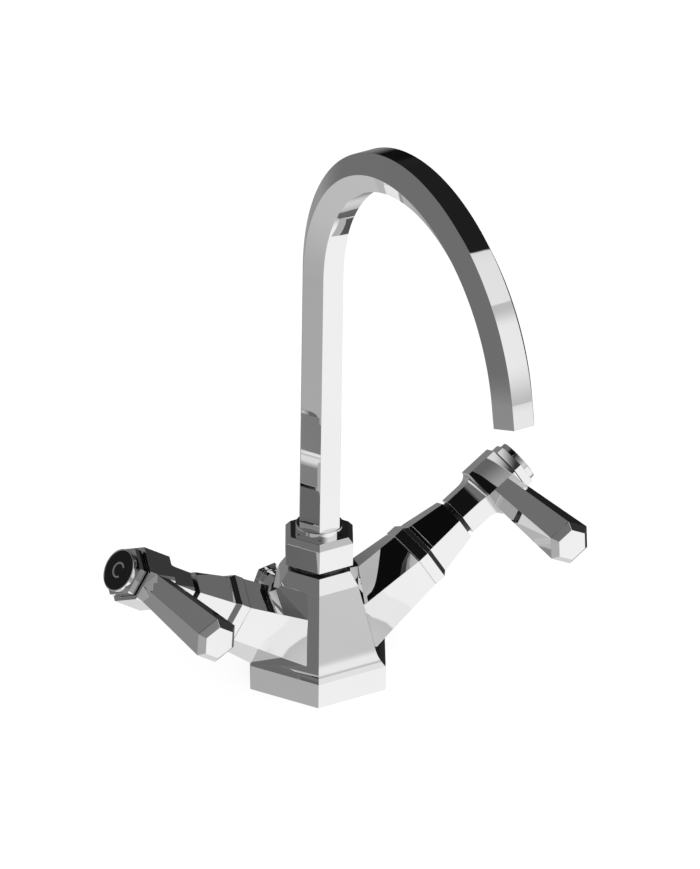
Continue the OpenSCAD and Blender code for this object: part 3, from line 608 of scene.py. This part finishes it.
def lever(side, label):
    """Blade that starts inside the hub and thickens towards its bevelled end."""
    seat = HUB_R * COS30
    root = seat / 2
    root_r = LEVER_ROOT_R - (LEVER_END_R - LEVER_ROOT_R) * (seat - root) / (LEVER_L - seat)
    blade = softened([
        (root, root_r), (LEVER_L, LEVER_END_R), (LEVER_L + LEVER_BEVEL_L, LEVER_TIP_R),
        (LEVER_L + LEVER_BEVEL_L, LEVER_TIP_R - EDGE)])
    piece = loft(f"{label}_handle_lever", hex_rings(blade), lever_place(side))
    dress(piece, f"{label}_handle", "chrome_plate", CHROME, f"{label}_lever")


def inset(outline, distance):
    """The outline moved inwards by that distance. It runs anticlockwise."""
    moved = []
    for before, here, after in zip(outline[-1:] + outline[:-1], outline, outline[1:] + outline[:1]):
        ahead, behind = (after - here).normalized(), (here - before).normalized()
        normal = Vector((-ahead.y, ahead.x)), Vector((-behind.y, behind.x))
        moved.append(here + (normal[0] + normal[1]) * distance / (1 + normal[0].dot(normal[1])))
    return moved


def letter(name):
    """Outline of the plain letter on an index disc, seen from outside with its top up."""
    half, stroke = LETTER_H / 2, LETTER_STROKE
    if name == "cold":
        start = 90 + LETTER_MOUTH / 2
        ring = [Vector((math.cos(a), math.sin(a)))
                for a in turns(start, start + 360 - LETTER_MOUTH, LETTER_STEPS)]
        return [p * half for p in ring] + [p * (half - stroke) for p in reversed(ring)]
    side, bar = LETTER_H * LETTER_WIDTH_SHARE / 2, stroke / 2
    return [Vector(p) for p in (
        (-half, -side), (half, -side), (half, stroke - side), (bar, stroke - side),
        (bar, side - stroke), (half, side - stroke), (half, side), (-half, side),
        (-half, side - stroke), (-bar, side - stroke), (-bar, stroke - side), (-half, stroke - side))]


def cap(side, label):
    crown = softened([
        (CAP_S, SPIGOT_R + EDGE), (CAP_S, CAP_R), (BEZEL_S, CAP_R), (BEZEL_S, CAP_R - EDGE)])
    rings = round_rings([(SPIGOT_S, SPIGOT_R), (CAP_S, SPIGOT_R)]) + hex_rings(crown)
    arm, body = arm_place(side), f"{label}_handle"
    dress(loft(f"{label}_handle_cap", rings, arm), body, "chrome_plate", CHROME, f"{label}_cap")

    band = turned(f"{label}_cap_band", softened([
        (HUB_TOP_S, SPIGOT_BORE_R), (HUB_TOP_S, CAP_RING_R), (CAP_S, CAP_RING_R),
        (CAP_S, SPIGOT_BORE_R)], FINE_EDGE), arm)
    dress(band, body, "black_nylon", NYLON, f"{label}_cap_ring")

    round_r = (BEZEL_R - INDEX_R - FIX_GAP) / 2
    rim_s, rim_r = BEZEL_S + BEZEL_T - round_r, BEZEL_R - round_r
    rim = [(rim_s + round_r * math.sin(a), rim_r + round_r * math.cos(a)) for a in turns(0, 180, 20)]
    floor_s = BEZEL_S + BEZEL_FLOOR_T
    bezel = turned(f"{label}_bezel_ring", [
        (BEZEL_S, BEZEL_R), *rim, (floor_s, INDEX_R + FIX_GAP)], arm, hollow=False)
    dress(bezel, body, "chrome_plate", CHROME, f"{label}_bezel")

    disc = turned(f"{label}_index_disc", softened([
        (floor_s, INDEX_R), (floor_s + INDEX_T, INDEX_R), (floor_s + INDEX_T, INDEX_R - INDEX_FLAT_SET)],
        FINE_EDGE), arm, hollow=False)
    dress(disc, body, "black_enamel", BLACK_ENAMEL, f"{label}_index")

    outline, top = letter(label), floor_s + INDEX_T + LETTER_T
    bevel = LETTER_T / 2
    levels = [(outline, top - LETTER_T), (outline, top - bevel), (inset(outline, bevel), top)]
    mark = loft(f"{label}_plain_letter", [[Vector((*p, s)) for p in ring] for ring, s in levels], arm)
    dress(mark, body, "silver_enamel", SILVER_ENAMEL, f"{label}_letter")


def waste_pull():
    start = BACK_Y + STEM_GAP
    root = [(PULL_Y - STEM_FILLET * (1 - math.sin(a)), STEM_R + STEM_FILLET * (1 - math.cos(a)))
            for a in turns(0, 90, 6)]
    stem = softened([(start, ROD_BORE_R), (start, STEM_R), root[0]]) + root[1:]
    back = PULL_FLATS - 2 * (PULL_L - PULL_RIM)
    block = softened([
        (PULL_Y, STEM_R + STEM_FILLET + OVER), (PULL_Y, vertex(PULL_FLATS)),
        (PULL_Y + PULL_RIM, vertex(PULL_FLATS)), (PULL_Y + PULL_L, vertex(back)),
        (PULL_Y + PULL_L, vertex(back) - EDGE)], FINE_EDGE / 2)
    rings = round_rings([(PULL_Y, ROD_BORE_R), *stem]) + hex_rings(block, twist=PULL_TWIST)
    dress(loft("waste_knob", rings, pull_place), "waste_pull", "chrome_plate", CHROME, "pull_knob")

    rod = turned("waste_rod", softened([
        (ROD_START_Y, ROD_R - EDGE), (ROD_START_Y, ROD_R), (PULL_Y, ROD_R), (PULL_Y, ROD_R - EDGE)]),
        pull_place, hollow=False)
    dress(rod, "waste_pull", "chromed_brass_turning", TURNED_ROD, "pull_rod")

    bush = turned("waste_bush", softened([
        (BACK_Y - BUSH_L, BUSH_BORE_R), (BACK_Y - BUSH_L, BUSH_R), (BACK_Y, BUSH_R),
        (BACK_Y, BUSH_BORE_R)]), pull_place)
    dress(bush, "mixer", "black_nylon", NYLON, "pull_bush")


mixer_body()
collar()
spout()
for side, label in ((-1, "cold"), (1, "hot")):
    arm_cover(side, label)
    hub(side, label)
    lever(side, label)
    cap(side, label)
waste_pull()


# Studio: a white floor, two soft lamps for everything that isn't metal, and for the metal a
# tent of cards and flags, as chrome shows only what stands round it
STUDIO_R, DOME_TURNS, DOME_RINGS = 3.0, 96, 48
FLOOR_R, FLOOR_GLOW = 30.0, 0.84
ROOM_LIGHT = 0.5
# Place and size of each lamp in metres, and its power in watts
LAMPS = {"key_lamp": ((-0.9, -1.3, 1.3), 1.2, 12), "fill_lamp": ((1.4, -0.8, 1.0), 1.2, 5)}
LAMP_AIM = Vector((0, 0, 0.1))


def seen_directly(tree):
    """1 for what the camera, a mirror or glass sees, and 0 for the light on matt things."""
    rays = node(tree, "ShaderNodeLightPath")
    either = node(tree, "ShaderNodeMath", {
        0: rays.outputs["Is Camera Ray"], 1: rays.outputs["Is Glossy Ray"]}, operation="MAXIMUM")
    return node(tree, "ShaderNodeMath", {
        0: either.outputs[0], 1: rays.outputs["Is Transmission Ray"]}, operation="MAXIMUM").outputs[0]


def floor():
    """White paper: mostly its own white, with enough plain paper to keep a soft shadow."""
    material, tree = new_finish("white_studio_paper")
    place = node(tree, "ShaderNodeTexCoord").outputs["Object"]
    fibres = node(tree, "ShaderNodeTexNoise", {"Vector": place, "Scale": per(8), "Detail": 3.0})
    tint = node(tree, "ShaderNodeMix", {
        "Factor": fibres.outputs["Fac"], 6: rgba("#969696"), 7: rgba("#999999")}, data_type="RGBA")
    paper = node(tree, "ShaderNodeBsdfDiffuse", {"Color": tint.outputs[2]})
    share = node(tree, "ShaderNodeMath", {0: seen_directly(tree), 1: FLOOR_GLOW}, operation="MULTIPLY")
    white = node(tree, "ShaderNodeEmission", {"Strength": share.outputs[0]})
    both = node(tree, "ShaderNodeAddShader", {0: paper.outputs[0], 1: white.outputs[0]})
    node(tree, "ShaderNodeOutputMaterial", {"Surface": both.outputs[0]})
    material.cycles.emission_sampling = "NONE"
    rim = round_ring(FLOOR_R / MM, 0, TURNED_POINTS)
    sheet = solid("studio_floor", rim, [tuple(range(TURNED_POINTS))])
    sheet.data.materials.append(material)
    sheet.visible_glossy = False


def only_in_metal(piece):
    """Seen by mirrors alone, so that it neither shows, nor lights, nor shades anything."""
    piece.visible_camera = piece.visible_diffuse = piece.visible_shadow = False
    piece.visible_transmission = piece.visible_volume_scatter = False


def bearings(tree, x, y, z):
    """Azimuth from the front, positive to the right, and height angle of a direction, in degrees."""
    back = node(tree, "ShaderNodeMath", {0: y, 1: -1.0}, operation="MULTIPLY")
    turn = node(tree, "ShaderNodeMath", {0: x, 1: back.outputs[0]}, operation="ARCTAN2")
    lift = node(tree, "ShaderNodeMath", {0: z}, operation="ARCSINE")
    return [node(tree, "ShaderNodeMath", {0: a.outputs[0]}, operation="DEGREES").outputs[0]
            for a in (turn, lift)]


def card(tree, below, turn, lift, azimuths, heights, tone, sides, ends):
    """Hangs a card over what is there, from one azimuth and height to another. Its left and
    right sides, and its lower and upper ends, each fade over their own width."""
    middle, half = sum(azimuths) / 2, (azimuths[1] - azimuths[0]) / 2
    away = node(tree, "ShaderNodeMath", {0: turn, 1: middle}, operation="SUBTRACT")
    away = node(tree, "ShaderNodeMath", {0: away.outputs[0], 1: 180.0, 2: -180.0}, operation="WRAP")
    cover = 1.0
    for value, place, soft, before, after in (
            (away.outputs[0], -half, sides[0], 0.0, 1.0), (away.outputs[0], half, sides[1], 1.0, 0.0),
            (lift, heights[0], ends[0], 0.0, 1.0), (lift, heights[1], ends[1], 1.0, 0.0)):
        fade = node(tree, "ShaderNodeMapRange", {
            "Value": value, "From Min": place - soft / 2, "From Max": place + soft / 2,
            "To Min": before, "To Max": after}, interpolation_type="SMOOTHSTEP")
        cover = node(tree, "ShaderNodeMath", {
            0: cover, 1: fade.outputs["Result"]}, operation="MULTIPLY").outputs[0]
    return node(tree, "ShaderNodeMix", {
        "Factor": cover, 6: below, 7: rgba(tone)}, data_type="RGBA").outputs[2]


# Azimuths and heights in degrees, the card's tone, and how softly its sides and ends fade.
# Each lies over those before it. Below the horizon they stand for the paper on the table, and their tones
# are its painted light and shade.
DARK_ROOM = "#202020"
CARDS = (
    # Grey wall on the left and behind, and the black ceiling over it
    ((-197, -14), (-60, 55), "#747474", (30, 30), (1, 18)),
    ((-200, 5), (62, 100), "#0D0D0D", (20, 20), (12, 1)),
    # Low cupboard in the corner behind on the right, and the dark room just over it
    ((145, 175), (-60, -2.5), "#7B7B7B", (6, 12), (1, 15)),
    ((142, 168), (3, 21), "#121212", (8, 12), (4, 6)),
    # Table on the left and behind, in painted shade: grey far out, paler close by
    ((-205, 5), (-100, -17), "#B3B3B3", (30, 40), (1, 22)),
    ((-205, 5), (-100, -38), "#C6C6C6", (30, 40), (1, 24)),
    ((-197, -125), (-36, -19), "#8E8E8E", (20, 40), (12, 8)),
    # Big soft window in front, dimmer at its foot, at its top and along a bar across it
    ((-3, 63), (-40, 79), "#F8F8F8", (44, 3), (1, 6)),
    ((-3, 63), (-40, 2.5), "#C3C3C3", (44, 3), (1, 24)),
    ((-3, 63), (41, 79), "#F0F0F0", (44, 3), (1, 6)),
    ((-3, 63), (66, 79), "#C6C6C6", (44, 3), (20, 6)),
    ((-3, 63), (35.5, 41.7), "#C8C8C8", (44, 3), (9, 0.8)),
    # White table in front, rising a little towards the outlet, and the table on the right and
    # behind in a paler painted shade
    ((-8, 95), (-100, -9.9), "#FFFFFF", (30, 50), (1, 0.6)),
    ((18, 40), (-12, -5.8), "#F6F6F6", (6, 6), (1, 0.6)),
    ((105, 172), (-100, -40), "#E0E0E0", (60, 25), (1, 30)),
    # Grey board far off to the right
    ((56, 118), (-10, 24), "#3B3B3B", (8, 20), (8, 16)),
)


def tent():
    """Dome round the mixer on which the cards hang. Where none hangs, it is a dark room."""
    material, tree = new_finish("cards_and_flags")
    place = node(tree, "ShaderNodeTexCoord").outputs["Object"]
    way = node(tree, "ShaderNodeVectorMath", {0: place}, operation="NORMALIZE")
    parts = node(tree, "ShaderNodeSeparateXYZ", {"Vector": way.outputs[0]})
    turn, lift = bearings(tree, *parts.outputs)
    tone = rgba(DARK_ROOM)
    for hung in CARDS:
        tone = card(tree, tone, turn, lift, *hung)
    glow = node(tree, "ShaderNodeEmission", {"Color": tone})
    node(tree, "ShaderNodeOutputMaterial", {"Surface": glow.outputs[0]})
    material.cycles.emission_sampling = "NONE"
    ball = bmesh.new()
    bmesh.ops.create_uvsphere(ball, u_segments=DOME_TURNS, v_segments=DOME_RINGS, radius=STUDIO_R)
    mesh = bpy.data.meshes.new("studio_tent")
    ball.to_mesh(mesh)
    ball.free()
    mesh.materials.append(material)
    dome = bpy.data.objects.new("studio_tent", mesh)
    bpy.context.scene.collection.objects.link(dome)
    only_in_metal(dome)


def lamp(name, place, size, power):
    """Soft square lamp that faces the mixer. Metal doesn't show it, as its card stands there."""
    light = bpy.data.lights.new(name, "AREA")
    light.size, light.energy = size, power
    stand = bpy.data.objects.new(name, light)
    stand.location = place
    stand.rotation_euler = (LAMP_AIM - stand.location).to_track_quat("-Z", "Y").to_euler()
    stand.visible_glossy = False
    bpy.context.scene.collection.objects.link(stand)


def world():
    """White where it is seen, and a plain level of light for everything else."""
    sky = bpy.data.worlds.new("white_studio")
    sky.use_nodes = True
    tree = sky.node_tree
    tree.nodes.clear()
    level = node(tree, "ShaderNodeMapRange", {
        "Value": seen_directly(tree), "To Min": ROOM_LIGHT, "To Max": 1.0})
    light = node(tree, "ShaderNodeBackground", {"Strength": level.outputs["Result"]})
    light.inputs["Color"].default_value = rgba("#FFFFFF")
    node(tree, "ShaderNodeOutputWorld", {"Surface": light.outputs[0]})
    bpy.context.scene.world = sky


floor()
tent()
world()
for name, settings in LAMPS.items():
    lamp(name, *settings)
bpy.context.scene.view_settings.view_transform = "Standard"

# Camera: where the photograph was taken from, and how far its middle lies from the mixer's
CAMERA_AZIMUTH, CAMERA_HEIGHT = math.radians(-31.18), math.radians(28.58)
CAMERA_ROLL, CAMERA_DISTANCE = math.radians(0.85), 8.923
CAMERA_LENS, SENSOR, CAMERA_REACH = 962, 36, 60
TARGET = Vector((0, 0, 60)) * MM
ACROSS, UPWARDS = 11.8 * MM, 38.25 * MM


def camera():
    a, e, w = CAMERA_AZIMUTH, CAMERA_HEIGHT, CAMERA_ROLL
    right = Vector((math.cos(a), math.sin(a), 0))
    back = Vector((math.sin(a) * math.cos(e), -math.cos(a) * math.cos(e), math.sin(e)))
    up = back.cross(right)
    across = right * math.cos(w) + up * math.sin(w)
    upwards = up * math.cos(w) - right * math.sin(w)
    eye = bpy.data.objects.new("camera", bpy.data.cameras.new("camera"))
    place = TARGET + across * ACROSS + upwards * UPWARDS + back * CAMERA_DISTANCE
    eye.matrix_world = Matrix.Translation(place) @ Matrix((across, upwards, back)).transposed().to_4x4()
    eye.data.lens, eye.data.sensor_width, eye.data.clip_end = CAMERA_LENS, SENSOR, CAMERA_REACH
    bpy.context.scene.collection.objects.link(eye)
    bpy.context.scene.camera = eye


camera()
